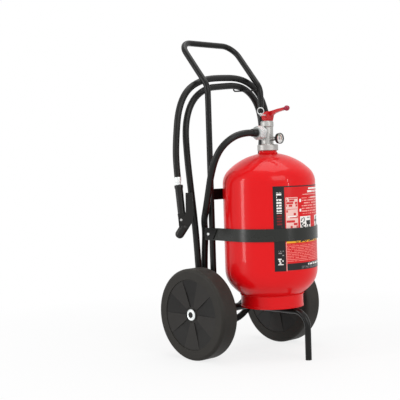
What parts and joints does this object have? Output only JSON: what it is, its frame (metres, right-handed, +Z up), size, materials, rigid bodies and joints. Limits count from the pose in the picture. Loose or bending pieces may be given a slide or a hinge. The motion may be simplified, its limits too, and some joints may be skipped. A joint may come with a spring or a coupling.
{
  "type": "wheeled fire extinguisher",
  "caption": "Large red fire extinguisher strapped to a black tubular hand trolley, with a lever valve, pressure gauge, safety pin and a long looped hose ending in a squeeze nozzle.",
  "frame": {"origin": "on the floor, midway between the trolley's two sides and midway from the front foot to the wheels' rear edge", "axes": "+Z up; -Y towards the trolley's front, where the gauge and the label face; the nozzle hangs on the -X side"},
  "size_m": [0.475, 0.445, 1.048],
  "materials": {
    "red_paint": "gloss",
    "black_paint": "satin powder coat",
    "band_paint": "satin powder coat",
    "cast_metal": "fine cast, tumbled",
    "plated_metal": "bright zinc plate",
    "brass": "turned",
    "steel": "ground",
    "hose_rubber": "matte, cloth-wrapped rubber",
    "seal_rubber": "smooth",
    "foot_rubber": "smooth",
    "tyre": "smooth solid rubber",
    "rim_plastic": "moulded",
    "bush_plastic": "nylon",
    "black_plastic": "moulded",
    "lever_red": "gloss",
    "knob_red": "gloss",
    "seal_plastic": "gloss",
    "label_film": "printed film",
    "dial_card": "printed",
    "needle_paint": "matte",
    "lens": "clear"
  },
  "bodies": {
    "trolley": {"handle_frame": "black_paint", "axle_tube": "black_paint", "axle_rod": "steel", "base_tube": "black_paint", "leg_cap": "foot_rubber", "rear_strap": "black_paint", "clamp_band": "band_paint", "clamp_plate_left": "black_paint", "clamp_plate_right": "black_paint", "clamp_bolts": "plated_metal", "clamp_nuts": "plated_metal", "hose_hook_left": "black_paint", "hose_hook_right": "black_paint", "tank_shell": "red_paint", "neck_ring": "red_paint", "foot_ring": "red_paint", "label_skin": "label_film", "collar_nut": "cast_metal", "neck_seal": "seal_rubber", "dip_tube": "bush_plastic", "valve_body": "cast_metal", "valve_spring": "steel", "lever_pin": "lever_red", "gauge_stem": "cast_metal", "gauge_case": "black_plastic", "gauge_dial": "dial_card", "gauge_lens": "lens", "outlet_nut": "plated_metal", "hose_tail": "black_plastic", "hose_lead": "hose_rubber", "hose_coil": "hose_rubber", "hose_ferrule": "plated_metal", "nozzle_collar": "black_plastic", "nozzle_grip": "black_plastic", "nozzle_body": "black_plastic", "nozzle_pin": "steel", "nozzle_spring": "steel", "axle_washers": "plated_metal", "axle_caps": "plated_metal", "axle_plugs": "black_plastic"},
    "lever_arm": {"lever": "lever_red", "lever_knob": "knob_red"},
    "spindle": {"valve_spindle": "brass", "valve_disc": "seal_rubber"},
    "safety": {"safety_pin": "plated_metal", "pin_ring": "plated_metal", "tamper_seal": "seal_plastic"},
    "needle": {"gauge_needle": "needle_paint"},
    "trigger": {"nozzle_lever": "black_plastic"},
    "plunger": {"nozzle_plunger": "steel"},
    "wheel_left": {"tyre_left": "tyre", "rim_left": "rim_plastic", "wheel_bush_left": "bush_plastic"},
    "wheel_right": {"tyre_right": "tyre", "rim_right": "rim_plastic", "wheel_bush_right": "bush_plastic"}
  },
  "joints": [
    {"name": "wheel_left_spin", "type": "hinge", "parent": "trolley", "child": "wheel_left", "pos_m": [-0.2035, 0.075, 0.148], "axis": [1, 0, 0], "continuous": true},
    {"name": "wheel_right_spin", "type": "hinge", "parent": "trolley", "child": "wheel_right", "pos_m": [0.2035, 0.075, 0.148], "axis": [1, 0, 0], "continuous": true},
    {"name": "lever_lift", "type": "hinge", "parent": "trolley", "child": "lever_arm", "pos_m": [0, -0.0685, 0.776], "axis": [-1, 0, 0], "range_deg": [0, 60]},
    {"name": "spindle_drop", "type": "slide", "parent": "trolley", "child": "spindle", "axis": [0, 0, -1], "range_m": [0, 0.0054], "deforming": ["valve_spring"]},
    {"name": "safety_pin_pull", "type": "slide", "parent": "trolley", "child": "safety", "axis": [-1, 0, 0], "range_m": [0, 0.06]},
    {"name": "gauge_needle_turn", "type": "hinge", "parent": "trolley", "child": "needle", "pos_m": [0, -0.114, 0.704], "axis": [0, -1, 0], "range_deg": [-110, 110], "stiffness_Nm_per_rad": 0.0005},
    {"name": "nozzle_squeeze", "type": "hinge", "parent": "trolley", "child": "trigger", "pos_m": [-0.21682, 0.125, 0.452], "axis": [-0.6947, -0.7193, 0], "range_deg": [0, 12], "stiffness_Nm_per_rad": 0.6, "springref_deg": -5.73},
    {"name": "plunger_push", "type": "slide", "parent": "trolley", "child": "plunger", "axis": [-0.7193, 0.6947, 0], "range_m": [0, 0.003]}
  ],
  "couplings": [
    {"joint": "spindle_drop", "follows": "lever_lift", "m_per_rad": 0.00504},
    {"joint": "plunger_push", "follows": "nozzle_squeeze", "m_per_rad": 0.01}
  ]
}
